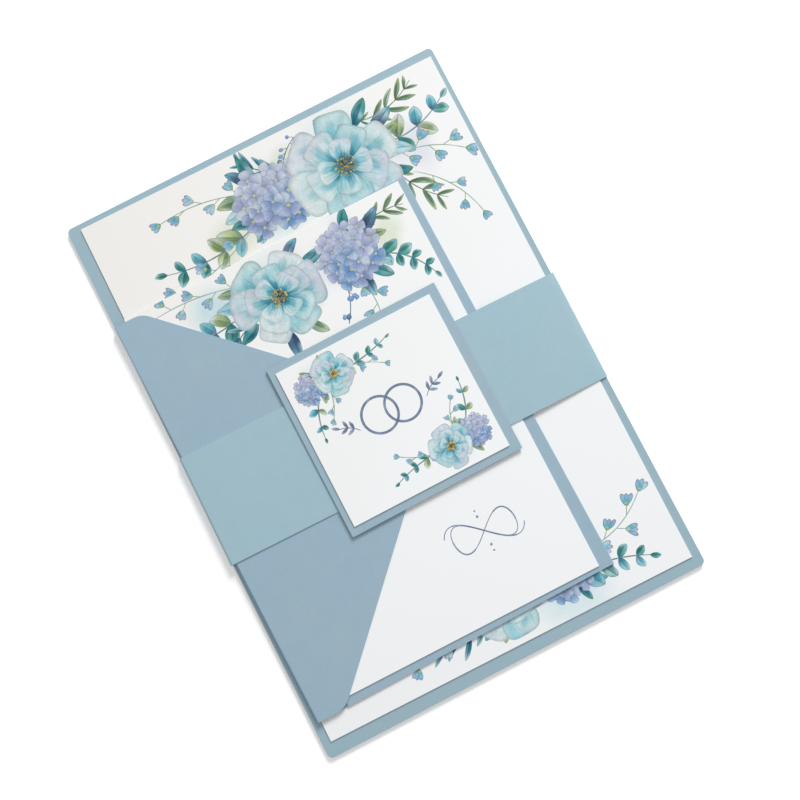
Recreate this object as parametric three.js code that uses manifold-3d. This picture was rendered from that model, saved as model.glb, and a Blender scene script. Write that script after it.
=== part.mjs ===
// Invitation card bundle: a printed card on a blue backing, a reply card held by the folded flap
// of its envelope, a belly band wrapped round the stack, and a square tag on the band.
// Millimetres, +Z up. The stack lies flat: the origin is on the table under the backing's centre,
// X runs across the card, Y runs up it, and the printed faces look along +Z.

import * as THREE from 'three';
import { mergeVertices } from 'three/addons/utils/BufferGeometryUtils.js';
import Module from 'manifold-3d';

const wasm = await Module();
wasm.setup();

// Paper thicknesses and the thin spaces between sheets
const backingCard = 0.4;
const printedCard = 0.3;
const bandCard = 0.3;
const envelopePaper = 0.18;
const glueFilm = 0.02;
const looseGap = 0.02;
const bandSlack = 0.06;

// Invitation: the blue backing and the white insert glued to it
const backingWidth = 148;
const backingHeight = 210;
const backingCorner = 1.8;
const insertSideBorder = 3.25;
const insertEndBorder = 3.7;
const insertShiftX = 0.73;
const insertShiftY = 0.99;
const insertTurn = -0.42;
const printedCorner = 0.15;

// Reply envelope, placed from the lower left corner of the backing
const envelopeWidth = 117.2;
const envelopeHeight = 156.8;
const envelopeInsetX = 1.05;
const envelopeInsetY = 13.9;
const envelopeTurn = 0.8;
const flapDepth = 89.4;
const flapShoulder = 10.8;
const shoulderRounding = 3.4;
const tipRounding = 5;
const throatInset = 12;
const seamFlapDepth = 18;
const seamFlapTaper = 6;

// Reply card, placed in the envelope: the blue strip that shows beside it, and the room in the fold
const replyStrip = 3.95;
const replyFoldRoom = 3.25;
const replyEndRoom = 1.15;
const replyShiftY = 1.38;
const replyTurn = -0.85;

// Belly band
const bandWidth = 42;
const bandShiftY = -9.42;
const bandTurn = -0.55;
const bandOverlap = 25;
const overlapRamp = 2;

// Tag on the band: its blue backing and the white square glued to it
const tagWidth = 67.5;
const tagHeight = 66.8;
const tagCorner = 0.5;
const tagBorder = 3;
const tagShiftX = 1.45;
const tagAboveBand = 2.67;
const tagTurn = 0.55;
const tagInsertShiftX = -0.63;
const tagInsertTurn = -0.05;

// Fineness of the curves, and how far a cutting tool reaches past what it cuts
const cornerSegments = 5;
const foldSegments = 8;
const bendAngle = THREE.MathUtils.degToRad(30);
const toolMargin = 2;

// The envelope's body is three papers thick: the front panel, the seam flaps and the back panel
const envelopeBody = 3 * envelopePaper;

// Heights of the sheets above the table, from the band's glued overlap up to the tag
const level = {};
level.overlapTop = bandCard;
level.bandInside = level.overlapTop + bandCard;
level.backing = level.bandInside + bandSlack;
level.insert = level.backing + backingCard + glueFilm;
level.envelope = level.insert + printedCard + looseGap;
level.replyCard = level.envelope + envelopeBody + looseGap;
level.flap = level.replyCard + printedCard + looseGap;
level.flapTop = level.flap + envelopePaper;
level.tagBacking = level.flapTop + bandSlack + bandCard + glueFilm;
level.tagInsert = level.tagBacking + backingCard + glueFilm;

// Materials
function pearlCard(color) {
  return new THREE.MeshStandardMaterial({ color, roughness: 0.5, metalness: 0.1 });
}

function printedStock(color) {
  return new THREE.MeshStandardMaterial({ color, roughness: 0.75, metalness: 0 });
}

const backingMaterial = pearlCard(0x98b4be);
const envelopeMaterial = pearlCard(0x9ab4c3);
const bandMaterial = pearlCard(0xa1bfcc);
const tagMaterial = pearlCard(0xa0bac5);
const insertMaterial = printedStock(0xf0f1ef);
const replyMaterial = printedStock(0xf1f2f1);
const tagInsertMaterial = printedStock(0xf2f2f2);

// Solids for the boolean steps
function toSolid(geometry) {
  const bare = geometry.clone();
  bare.deleteAttribute('normal');
  bare.deleteAttribute('uv');
  const merged = mergeVertices(bare);
  const mesh = new wasm.Mesh({
    numProp: 3,
    vertProperties: new Float32Array(merged.attributes.position.array),
    triVerts: new Uint32Array(merged.index.array),
  });
  return new wasm.Manifold(mesh);
}

function toGeometry(solid) {
  const mesh = solid.getMesh();
  const geometry = new THREE.BufferGeometry();
  geometry.setAttribute('position', new THREE.BufferAttribute(mesh.vertProperties, 3));
  geometry.setIndex(new THREE.BufferAttribute(mesh.triVerts, 1));
  geometry.computeVertexNormals();
  return geometry;
}

// A flat piece: the outline in X and Y, with its underside at Z = 0
function flatPiece(outline, thickness, curveSegments) {
  return new THREE.ExtrudeGeometry(outline, { depth: thickness, bevelEnabled: false, curveSegments });
}

// A profile drawn in X and Z, run along Y and centred on Y = 0
function alongY(profile, length, curveSegments) {
  const geometry = new THREE.ExtrudeGeometry(profile, { depth: length, bevelEnabled: false, curveSegments });
  geometry.rotateX(Math.PI / 2);
  geometry.translate(0, length / 2, 0);
  return geometry;
}

// Rectangle centred on the origin, with round corners
function roundRectangle(width, height, radius) {
  const x = width / 2 - radius;
  const y = height / 2 - radius;
  const outline = new THREE.Shape();
  outline.absarc(x, -y, radius, -Math.PI / 2, 0, false);
  outline.absarc(x, y, radius, 0, Math.PI / 2, false);
  outline.absarc(-x, y, radius, Math.PI / 2, Math.PI, false);
  outline.absarc(-x, -y, radius, Math.PI, 1.5 * Math.PI, false);
  outline.closePath();
  return outline;
}

function cardSheet(width, height, radius, thickness) {
  return flatPiece(roundRectangle(width, height, radius), thickness, cornerSegments);
}

// A frame that is shifted in the plane of the card and turned about Z, in degrees
function placed(name, x, y, turn) {
  const frame = new THREE.Group();
  frame.name = name;
  frame.position.set(x, y, 0);
  frame.rotation.z = THREE.MathUtils.degToRad(turn);
  return frame;
}

function namedMesh(name, geometry, material, bottom) {
  const mesh = new THREE.Mesh(geometry, material);
  mesh.name = name;
  mesh.position.z = bottom;
  return mesh;
}

// Frames of the sub-assemblies
const bundle = new THREE.Group();
bundle.name = 'invitation_card';
const insertFrame = placed('insert_frame', insertShiftX, insertShiftY, insertTurn);
const envelopeX = -backingWidth / 2 + envelopeInsetX + envelopeWidth / 2;
const envelopeY = -backingHeight / 2 + envelopeInsetY + envelopeHeight / 2;
const envelopeFrame = placed('envelope_frame', envelopeX, envelopeY, envelopeTurn);
const replyShiftX = (replyFoldRoom - replyStrip) / 2;
const replyFrame = placed('reply_frame', replyShiftX, replyShiftY, replyTurn);
const bandFrame = placed('band_frame', 0, bandShiftY, bandTurn);
const tagFrame = placed('tag_frame', tagShiftX, tagAboveBand, tagTurn - bandTurn);
const tagInsertFrame = placed('tag_insert_frame', tagInsertShiftX, 0, tagInsertTurn);
bundle.add(insertFrame, envelopeFrame, bandFrame);
envelopeFrame.add(replyFrame);
bandFrame.add(tagFrame);
tagFrame.add(tagInsertFrame);

// Sizes that follow from the pieces that they fit
const insertWidth = backingWidth - 2 * insertSideBorder;
const insertHeight = backingHeight - 2 * insertEndBorder;
const replyWidth = envelopeWidth - replyStrip - replyFoldRoom;
const replyHeight = envelopeHeight - 2 * replyEndRoom;
const tagInsertWidth = tagWidth - 2 * tagBorder;
const tagInsertHeight = tagHeight - 2 * tagBorder;
const foldEdge = -envelopeWidth / 2;
const flapTip = foldEdge + flapDepth;
const shoulderX = foldEdge + flapShoulder;

// Invitation
function addInvitation() {
  const backing = cardSheet(backingWidth, backingHeight, backingCorner, backingCard);
  bundle.add(namedMesh('invitation_backing', backing, backingMaterial, level.backing));
  const insert = cardSheet(insertWidth, insertHeight, printedCorner, printedCard);
  insertFrame.add(namedMesh('invitation_insert', insert, insertMaterial, level.insert));
}

// Envelope, seen from its lower end: the front panel, the round fold on the right and the back panel
// over it, and the higher fold on the left that carries the flap across the reply card
function envelopeProfile() {
  const flapOuter = (level.flapTop - level.envelope) / 2;
  const flapInner = flapOuter - envelopePaper;
  const sideOuter = envelopeBody / 2;
  const sideInner = sideOuter - envelopePaper;
  const left = foldEdge + flapOuter;
  const right = envelopeWidth / 2 - sideOuter;
  const throat = foldEdge + throatInset;
  const up = Math.PI / 2;
  const profile = new THREE.Shape();
  profile.moveTo(flapTip, 2 * flapOuter);
  profile.absarc(left, flapOuter, flapOuter, up, -up, false);
  profile.absarc(right, sideOuter, sideOuter, -up, up, false);
  profile.lineTo(throat, 2 * sideOuter);
  profile.lineTo(throat, 2 * sideOuter - envelopePaper);
  profile.absarc(right, sideOuter, sideInner, up, -up, true);
  profile.absarc(left, flapOuter, flapInner, -up, up, true);
  profile.lineTo(flapTip, 2 * flapOuter - envelopePaper);
  profile.closePath();
  return profile;
}

// The waste round the pointed flap: a plate with the flap's outline open in it, and the fold left free
function flapWaste() {
  const top = envelopeHeight / 2;
  const slope = new THREE.Vector2(flapTip - shoulderX, top).normalize();
  const plate = new THREE.Shape();
  plate.moveTo(shoulderX - shoulderRounding, -top - toolMargin);
  plate.lineTo(flapTip + toolMargin, -top - toolMargin);
  plate.lineTo(flapTip + toolMargin, top + toolMargin);
  plate.lineTo(shoulderX - shoulderRounding, top + toolMargin);
  plate.lineTo(shoulderX - shoulderRounding, top);
  plate.quadraticCurveTo(
    shoulderX, top,
    shoulderX + slope.x * shoulderRounding, top - slope.y * shoulderRounding,
  );
  plate.lineTo(flapTip - slope.x * tipRounding, slope.y * tipRounding);
  plate.quadraticCurveTo(flapTip, 0, flapTip - slope.x * tipRounding, -slope.y * tipRounding);
  plate.lineTo(shoulderX + slope.x * shoulderRounding, -top + slope.y * shoulderRounding);
  plate.quadraticCurveTo(shoulderX, -top, shoulderX - shoulderRounding, -top);
  plate.closePath();
  const clearOfFlap = (level.flap - level.replyCard) / 2;
  const waste = flatPiece(plate, envelopePaper + 2 * clearOfFlap, cornerSegments);
  waste.translate(0, 0, level.flap - level.envelope - clearOfFlap);
  return waste;
}

// One glued side seam: a strip with slanted ends that fills the pocket between the two panels
function seamFlap(side) {
  const end = (side * envelopeHeight) / 2;
  const inner = end - side * seamFlapDepth;
  const left = foldEdge + throatInset;
  const right = envelopeWidth / 2 - envelopeBody / 2;
  const strip = new THREE.Shape();
  strip.moveTo(left, end);
  strip.lineTo(left + seamFlapTaper, inner);
  strip.lineTo(right - seamFlapTaper, inner);
  strip.lineTo(right, end);
  strip.closePath();
  const intoPanels = envelopePaper / 2;
  const seam = flatPiece(strip, envelopePaper + 2 * intoPanels, cornerSegments);
  seam.translate(0, 0, envelopePaper - intoPanels);
  return seam;
}

function addReplySet() {
  const folded = toSolid(alongY(envelopeProfile(), envelopeHeight, foldSegments));
  const trimmed = folded.subtract(toSolid(flapWaste()));
  const sealed = trimmed.add(toSolid(seamFlap(1))).add(toSolid(seamFlap(-1)));
  envelopeFrame.add(namedMesh('reply_envelope', toGeometry(sealed), envelopeMaterial, level.envelope));
  const card = cardSheet(replyWidth, replyHeight, printedCorner, printedCard);
  replyFrame.add(namedMesh('reply_card', card, replyMaterial, level.replyCard));
}

// Belly band: the tight loop round everything that lies inside its width
function rectangleCorners(width, height) {
  const x = width / 2;
  const y = height / 2;
  return [[-x, -y], [x, -y], [x, y], [-x, y]].map(([px, py]) => new THREE.Vector3(px, py, 0));
}

function flapCorners() {
  const top = envelopeHeight / 2;
  const points = [[foldEdge, -top], [shoulderX, -top], [flapTip, 0], [shoulderX, top], [foldEdge, top]];
  return points.map(([px, py]) => new THREE.Vector3(px, py, 0));
}

// Points of an outline, moved from their own frame into the band's frame
function seenFromBand(frame, points) {
  bundle.updateMatrixWorld(true);
  return points.map((point) => bandFrame.worldToLocal(frame.localToWorld(point.clone())));
}

// The part of a convex outline on one side of the line Y = limit
function clipped(points, limit, side) {
  const inside = (point) => side * (limit - point.y) >= 0;
  return points.flatMap((point, index) => {
    const next = points[(index + 1) % points.length];
    const kept = inside(point) ? [point] : [];
    if (inside(point) === inside(next)) return kept;
    const share = (limit - point.y) / (next.y - point.y);
    return [...kept, point.clone().lerp(next, share)];
  });
}

// The leftmost and rightmost places of an outline under the band, at the bottom and top of its sheet
function sectionPoints({ frame, points, bottom, top }) {
  const below = clipped(seenFromBand(frame, points), bandWidth / 2, 1);
  const under = clipped(below, -bandWidth / 2, -1);
  if (under.length === 0) return [];
  const places = under.map((point) => point.x);
  return [Math.min(...places), Math.max(...places)].flatMap((x) => [
    new THREE.Vector2(x, bottom),
    new THREE.Vector2(x, top),
  ]);
}

// Convex outline round the points, anticlockwise from the lower left
function convexOutline(points) {
  const sorted = [...points].sort((a, b) => a.x - b.x || a.y - b.y);
  const turnOf = (a, b, c) => (b.x - a.x) * (c.y - a.y) - (b.y - a.y) * (c.x - a.x);
  const chain = (ordered) => {
    const kept = [];
    for (const point of ordered) {
      while (kept.length > 1 && turnOf(kept.at(-2), kept.at(-1), point) <= 0) kept.pop();
      kept.push(point);
    }
    return kept.slice(0, -1);
  };
  return [...chain(sorted), ...chain(sorted.reverse())];
}

// The outline at a set distance outside the corners. Each corner turns in short equal bends
function loopAround(corners, distance, path) {
  const outward = (from, to) => Math.atan2(to.y - from.y, to.x - from.x) - Math.PI / 2;
  const points = corners.flatMap((corner, index) => {
    const start = outward(corners.at(index - 1), corner);
    const end = outward(corner, corners[(index + 1) % corners.length]);
    const turn = THREE.MathUtils.euclideanModulo(end - start, 2 * Math.PI);
    const bends = Math.max(1, Math.round(turn / bendAngle));
    const reach = distance / Math.cos(turn / bends / 2);
    return Array.from({ length: bends }, (_, bend) => {
      const angle = start + ((bend + 0.5) * turn) / bends;
      return new THREE.Vector2(corner.x + reach * Math.cos(angle), corner.y + reach * Math.sin(angle));
    });
  });
  path.setFromPoints(points);
  path.closePath();
  return path;
}

function bandLoop() {
  const sheets = [
    { frame: bundle, points: rectangleCorners(backingWidth, backingHeight),
      bottom: level.backing, top: level.backing + backingCard },
    { frame: insertFrame, points: rectangleCorners(insertWidth, insertHeight),
      bottom: level.insert, top: level.insert + printedCard },
    { frame: envelopeFrame, points: rectangleCorners(envelopeWidth, envelopeHeight),
      bottom: level.envelope, top: level.envelope + envelopeBody },
    { frame: replyFrame, points: rectangleCorners(replyWidth, replyHeight),
      bottom: level.replyCard, top: level.replyCard + printedCard },
    { frame: envelopeFrame, points: flapCorners(), bottom: level.flap, top: level.flapTop },
  ];
  const corners = convexOutline(sheets.flatMap(sectionPoints));
  const loop = loopAround(corners, bandSlack + bandCard, new THREE.Shape());
  loop.holes.push(loopAround(corners, bandSlack, new THREE.Path()));
  return alongY(loop, bandWidth);
}

// The end that is glued under the other at the back, with the short ramp where the strip steps down
function overlapPly() {
  const half = bandOverlap / 2;
  const intoLoop = bandCard / 2;
  const ply = new THREE.Shape();
  ply.moveTo(-half, 0);
  ply.lineTo(half, 0);
  ply.lineTo(half, level.overlapTop + intoLoop);
  ply.lineTo(-half - overlapRamp, level.overlapTop + intoLoop);
  ply.lineTo(-half - overlapRamp, level.overlapTop);
  ply.closePath();
  return alongY(ply, bandWidth);
}

function addBand() {
  const band = toSolid(bandLoop()).add(toSolid(overlapPly()));
  bandFrame.add(namedMesh('belly_band', toGeometry(band), bandMaterial, 0));
}

// Tag
function addTag() {
  const backing = cardSheet(tagWidth, tagHeight, tagCorner, backingCard);
  tagFrame.add(namedMesh('tag_backing', backing, tagMaterial, level.tagBacking));
  const insert = cardSheet(tagInsertWidth, tagInsertHeight, printedCorner, printedCard);
  tagInsertFrame.add(namedMesh('tag_insert', insert, tagInsertMaterial, level.tagInsert));
}

addInvitation();
addReplySet();
addBand();
addTag();

export default bundle;
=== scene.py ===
"""Invitation card bundle: looks, light and camera.

Every solid of the frame gives way to a finished piece inside its box. The white cards carry their
watercolour print as fields of colour in the sheet itself, the reply envelope is rebuilt as one folded
sheet, and the blue cards keep their outline with softly rounded cut edges. Sizes are millimetres until
a mesh is made.
"""

import logging
import math
import random
from dataclasses import dataclass, field
from enum import Enum
from typing import Callable, Sequence

import bmesh
import bpy
import numpy as np
from mathutils import Matrix, Vector
from mathutils.geometry import delaunay_2d_cdt


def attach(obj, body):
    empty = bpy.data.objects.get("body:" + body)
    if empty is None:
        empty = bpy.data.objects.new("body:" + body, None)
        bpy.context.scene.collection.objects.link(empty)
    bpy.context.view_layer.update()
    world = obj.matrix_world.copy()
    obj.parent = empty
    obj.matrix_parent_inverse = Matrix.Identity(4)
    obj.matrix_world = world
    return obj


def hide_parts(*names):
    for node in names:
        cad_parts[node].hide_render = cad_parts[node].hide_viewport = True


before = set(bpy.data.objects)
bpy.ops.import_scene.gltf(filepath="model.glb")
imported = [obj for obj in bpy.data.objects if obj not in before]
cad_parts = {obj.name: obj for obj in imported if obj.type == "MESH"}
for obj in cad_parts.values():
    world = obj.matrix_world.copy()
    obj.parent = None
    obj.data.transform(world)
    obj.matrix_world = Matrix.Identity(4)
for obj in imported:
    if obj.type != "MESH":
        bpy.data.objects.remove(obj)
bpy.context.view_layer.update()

LOG = logging.getLogger("invitation")
MM = 0.001

# The screen's own curve between stored and linear values
SCREEN_KNEE, SCREEN_SLOPE, SCREEN_LIFT, SCREEN_POWER = 0.04045, 12.92, 0.055, 2.4

# Sockets of a mix node that works on colours
MIX_FIRST, MIX_SECOND, MIX_RESULT = 6, 7, 2

Colour = tuple[float, float, float]
Tint = tuple[float, float, float, float]
Many = np.ndarray


class Blend(Enum):
    """How a patch of paint lies on what is under it."""

    COVER = "hides what is under it"
    GLAZE = "darkens what is under it"


def rgb(red: int, green: int, blue: int) -> Colour:
    """Colour from screen values of 0 to 255."""
    return (red / 255, green / 255, blue / 255)


def linear(value: float | Many) -> float | Many:
    """Screen values to the linear values that a mesh or a shader stores."""
    curve = ((value + SCREEN_LIFT) / (1 + SCREEN_LIFT)) ** SCREEN_POWER
    return np.where(value <= SCREEN_KNEE, value / SCREEN_SLOPE, curve)


def linear_colour(colour: Colour) -> Tint:
    """Screen colour as a linear colour with full alpha."""
    return (*(float(linear(value)) for value in colour), 1.0)


def scaled(colour: Colour, factors: Colour) -> Colour:
    """A colour with each of its three values multiplied by its own factor."""
    return tuple(value * factor for value, factor in zip(colour, factors))


def mixed(first: Colour | Many, second: Colour | Many, share: float | Many) -> Many:
    """Colours between two others; share 0 gives the first and 1 the second."""
    share = np.clip(share, 0.0, 1.0)[..., None]
    return np.asarray(first) * (1 - share) + np.asarray(second) * share


def eased(low: float, high: float, value: float | Many) -> Many:
    """Smooth step from 0 at low to 1 at high."""
    share = np.clip((value - low) / (high - low), 0.0, 1.0)
    return share * share * (3 - 2 * share)


class Drift:
    """Smooth random field, the same on every run."""

    def __init__(self, seed: int, cells: int = 64) -> None:
        """Draws the knots of the field.

        Args:
            seed: start of the random draws.
            cells: after how many units the field repeats.
        """
        self.cells = cells
        self.knots = np.random.default_rng(seed).uniform(-1.0, 1.0, (cells, cells))

    def at(self, x: Many, y: Many) -> Many:
        """Values of the field, from -1 to 1.

        Args:
            x: first coordinates, in units of the field.
            y: second coordinates.

        Returns:
            the value at each point.
        """
        column, row = np.floor(x).astype(int), np.floor(y).astype(int)
        across, up = eased(0.0, 1.0, x - column), eased(0.0, 1.0, y - row)
        column, row = column % self.cells, row % self.cells
        right, above = (column + 1) % self.cells, (row + 1) % self.cells
        low = self.knots[column, row] * (1 - across) + self.knots[right, row] * across
        high = self.knots[column, above] * (1 - across) + self.knots[right, above] * across
        return low * (1 - up) + high * up


DRIFT = Drift(5)


def heading(degrees: float) -> Vector:
    """Unit vector in the plane of the card, anticlockwise from +X."""
    angle = math.radians(degrees)
    return Vector((math.cos(angle), math.sin(angle)))


def at(x: float, y: float) -> Vector:
    """Point in the plane of a card."""
    return Vector((x, y))


# Paint


@dataclass(frozen=True)
class Palette:
    """Pigments of the print."""

    mist: Colour = rgb(234, 244, 246)
    frost: Colour = rgb(206, 234, 238)
    haze: Colour = rgb(220, 224, 238)
    aqua: Colour = rgb(170, 220, 228)
    sky: Colour = rgb(118, 196, 216)
    teal: Colour = rgb(48, 146, 160)
    deep_teal: Colour = rgb(24, 96, 116)
    lilac: Colour = rgb(196, 200, 230)
    periwinkle: Colour = rgb(148, 164, 210)
    cornflower: Colour = rgb(106, 152, 208)
    slate: Colour = rgb(70, 104, 138)
    ink_blue: Colour = rgb(44, 62, 96)
    sage: Colour = rgb(122, 158, 132)
    olive: Colour = rgb(88, 118, 72)
    lime: Colour = rgb(190, 210, 150)
    sea_green: Colour = rgb(88, 168, 150)
    ochre: Colour = rgb(176, 142, 58)
    honey: Colour = rgb(214, 188, 110)
    umber: Colour = rgb(86, 78, 52)
    pen: Colour = rgb(112, 130, 158)


PALETTE = Palette()


@dataclass
class Wash:
    """One closed patch of paint.

    Attributes:
        outline: its edge, in the card's own frame, in millimetres.
        tone: gives the tints at some points; its second value runs from 0 in the middle to 1 at the edge.
        blend: how it lies on what is under it.
        middle: the point that the edge is seen from, or None where the tone needs no distance.
        rings: inner copies of the edge, as shares of its size, that carry the change of tone.
        shaded: whether the tone changes inside it, so that it needs points there.
    """

    outline: list[Vector]
    tone: Callable[[Many, Many], Many]
    blend: Blend = Blend.COVER
    middle: Vector | None = None
    rings: Sequence[float] = ()
    shaded: bool = False

    def nearness(self, points: Many) -> Many:
        """How near points are to the edge, from 0 in the middle to 1 on it.

        Args:
            points: where, in the card's own frame.

        Returns:
            one value for each point.
        """
        if self.middle is None:
            return np.zeros(len(points))
        middle = np.array(self.middle)
        rim = np.array(self.outline) - middle
        arms = points - middle
        reach = np.interp(
            np.arctan2(arms[:, 1], arms[:, 0]),
            np.arctan2(rim[:, 1], rim[:, 0]),
            np.hypot(rim[:, 0], rim[:, 1]),
            period=2 * np.pi,
        )
        return np.clip(np.hypot(arms[:, 0], arms[:, 1]) / reach, 0.0, 1.0)

    def tints(self, points: Many) -> Many:
        """The paint at some points."""
        return self.tone(points, self.nearness(points))


def painted(colour: Many, strength: float | Many) -> Many:
    """Joins colours and strengths into tints."""
    return np.column_stack([colour, np.broadcast_to(strength, len(colour))])


@dataclass(frozen=True)
class Blade:
    """The frame of a petal or leaf: from its foot, along its axis, with a side-to-side bend.

    Attributes:
        foot: where it grows from.
        angle: the way that it points, in degrees.
        length: from foot to tip.
        width: at its widest.
        fullness: shape of the foot end; small is round, large is narrow.
        point: shape of the tip; small is blunt, large is sharp.
        bend: sideways reach of the axis in the middle, as a share of the length.
    """

    foot: Vector
    angle: float
    length: float
    width: float
    fullness: float = 0.6
    point: float = 0.5
    bend: float = 0.0

    def half_width(self, along: float | Many) -> float | Many:
        """Half of the width at a share of the length.

        Args:
            along: the share or shares.

        Returns:
            half of the width there, in millimetres.
        """
        along = np.clip(along, 0.0, 1.0)
        peak = self.fullness / (self.fullness + self.point)
        top = peak**self.fullness * (1 - peak) ** self.point
        return self.width / 2 * along**self.fullness * (1 - along) ** self.point / top

    def place(self, along: float, across: float) -> Vector:
        """Point at a share of the length and a distance to the left of the axis.

        Args:
            along: the share.
            across: the distance, in millimetres.

        Returns:
            the point.
        """
        axis = heading(self.angle)
        side = at(-axis.y, axis.x)
        sway = self.bend * self.length * 4 * along * (1 - along)
        return self.foot + axis * (along * self.length) + side * (across + sway)

    def seen(self, points: Many) -> tuple[Many, Many]:
        """Share of the length, and side-to-side share from -1 to 1, of some points.

        Args:
            points: where, in the card's own frame.

        Returns:
            the two shares of each point.
        """
        axis = np.array(heading(self.angle))
        side = np.array((-axis[1], axis[0]))
        arms = points - np.array(self.foot)
        along = arms @ axis / self.length
        sway = self.bend * self.length * 4 * along * (1 - along)
        across = (arms @ side - sway) / np.maximum(self.half_width(along), self.width * 0.06)
        return along, np.clip(across, -1.2, 1.2)

    def outline(self, steps: int, wobble: float, seed: float) -> list[Vector]:
        """Edge of the blade, anticlockwise from its foot, with an uneven hand-painted line.

        Args:
            steps: points on each side.
            wobble: how uneven the line is, as a share of the width.
            seed: which part of the drift it takes.

        Returns:
            the points of the edge.
        """
        points = []
        for side in (-1, 1):
            for step in range(steps):
                share = step / steps
                along = (1 - math.cos(math.pi * share)) / 2
                along = along if side < 0 else 1 - along
                drift = DRIFT.at(along * 3.1 + seed, side * 2.3 + seed) * wobble
                reach = side * self.half_width(along) * (1 + drift)
                points.append(self.place(along, float(reach)))
        return points


@dataclass(frozen=True)
class Stain:
    """Colours of a petal or leaf.

    Attributes:
        foot: colour where it grows from.
        body: colour of its middle.
        tip: colour of its far end.
        streak: colour of the streaks that run along it.
        rim: how much darker the dried edge is.
        strength: how much of what lies under it is hidden.
    """

    foot: Colour
    body: Colour
    tip: Colour
    streak: Colour
    rim: float = 0.18
    strength: float = 0.94


class Painter:
    """Paints washes in order, each on top of those before it."""

    def __init__(self, seed: int) -> None:
        """Starts an empty picture.

        Args:
            seed: start of the random draws, so that each run paints the same picture.
        """
        self.chance = random.Random(seed)
        self.washes: list[Wash] = []

    def about(self, value: float, spread: float) -> float:
        """A value with a random share of spread added or taken."""
        return value * (1 + self.chance.uniform(-spread, spread))

    def blade(self, shape: Blade, stain: Stain, steps: int = 14, wobble: float = 0.12) -> None:
        """Paints one petal or leaf with streaks along it and a darker dried rim.

        Args:
            shape: its frame.
            stain: its colours.
            steps: points on each side of its edge.
            wobble: how uneven its edge is, as a share of its width.
        """
        seed = self.chance.uniform(0, 60)

        def tone(points: Many, near: Many) -> Many:
            """Tints of the petal or leaf at some points.

            Args:
                points: where, in the card's own frame.
                near: how near each point is to the edge.

            Returns:
                the tint at each point.
            """
            along, across = shape.seen(points)
            colour = mixed(stain.foot, stain.body, eased(0.0, 0.5, along))
            colour = mixed(colour, stain.tip, eased(0.45, 1.0, along))
            line = DRIFT.at(across * 2.6 + seed, along * 0.9 + seed)
            colour = mixed(colour, stain.streak, np.maximum(0.0, line) * 0.8 * (1 - 0.4 * along))
            cloud = DRIFT.at(points[:, 0] * 0.3 + seed, points[:, 1] * 0.3)
            colour = mixed(colour, PALETTE.mist, np.maximum(0.0, cloud) * 0.7)
            dark = 1 - stain.rim * eased(0.84, 1.0, near)
            return painted(colour * dark[:, None], stain.strength)

        outline = shape.outline(steps, wobble, seed)
        large = shape.width > 2.2
        self.washes.append(
            Wash(outline, tone, middle=shape.place(0.5, 0), rings=(0.9,) if large else (0.6,), shaded=large)
        )

    def stroke(
        self,
        points: Sequence[Vector],
        width: float,
        colour: Colour,
        strength: float = 0.9,
        taper: float = 0.0,
        blend: Blend = Blend.COVER,
    ) -> None:
        """Paints one brush line.

        Args:
            points: the line's middle, from its start to its end.
            width: at its widest.
            colour: of the paint.
            strength: how much of what lies under it is hidden or darkened.
            taper: share of the width that is lost at both ends.
            blend: how it lies on what is under it.
        """
        left, right = [], []
        last = len(points) - 1
        for index, point in enumerate(points):
            ahead = points[min(last, index + 1)] - points[max(0, index - 1)]
            side = at(-ahead.y, ahead.x).normalized()
            half = width / 2 * (1 - taper * abs(2 * index / last - 1) ** 2)
            left.append(point + side * half)
            right.append(point - side * half)

        def tone(spots: Many, near: Many) -> Many:
            """Tints of the line at some points.

            Args:
                spots: where, in the card's own frame.
                near: not used, since a line is even across.

            Returns:
                the tint at each point.
            """
            fade = DRIFT.at(spots[:, 0] * 0.5, spots[:, 1] * 0.5)
            shades = mixed(colour, PALETTE.mist, np.maximum(0.0, fade) * 0.35)
            return painted(shades, strength)

        self.washes.append(Wash([*right, *reversed(left)], tone, blend))

    def curve(self, start: Vector, end: Vector, bow: float, steps: int = 14) -> list[Vector]:
        """Points of a bowed line; bow is its sideways reach as a share of its length.

        Args:
            start: where the line starts.
            end: where it ends.
            bow: the sideways reach.
            steps: number of its straight parts.

        Returns:
            the points, from start to end.
        """
        run = end - start
        side = at(-run.y, run.x)
        return [
            start + run * (step / steps) + side * (bow * 4 * (step / steps) * (1 - step / steps))
            for step in range(steps + 1)
        ]

    def along_stem(self, stem: Sequence[Vector], share: float) -> tuple[Vector, float]:
        """Point at a share of a stem's length, and the way that the stem runs there, in degrees.

        Args:
            stem: points of the stem.
            share: the share.

        Returns:
            the point and the direction.
        """
        place = share * (len(stem) - 2)
        index = int(place)
        ahead = stem[index + 1] - stem[index]
        return stem[index].lerp(stem[index + 1], place - index), self.way_of(ahead)

    def way_of(self, run: Vector) -> float:
        """Direction of a run in the plane of the card, in degrees from +X."""
        return math.degrees(math.atan2(run.y, run.x))

    def cloud(self, middle: Vector, radius: float, colour: Colour, strength: float = 0.35) -> None:
        """Paints a pale round wash that fades out at its edge.

        Args:
            middle: of the wash.
            radius: of the wash.
            colour: of the paint.
            strength: in its middle.
        """
        seed = self.chance.uniform(0, 60)
        outline = []
        for step in range(20):
            way = heading(step * 18)
            uneven = 1 + 0.4 * DRIFT.at(way.x * 1.3 + seed, way.y * 1.3 + seed)
            outline.append(middle + way * radius * uneven)

        def tone(points: Many, near: Many) -> Many:
            """Tints that thin out towards the edge."""
            thin = strength * (1 - eased(0.2, 1.0, near))
            return painted(np.broadcast_to(colour, (len(points), 3)), thin)

        self.washes.append(Wash(outline, tone, Blend.GLAZE, middle, (0.8, 0.55, 0.3)))

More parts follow.
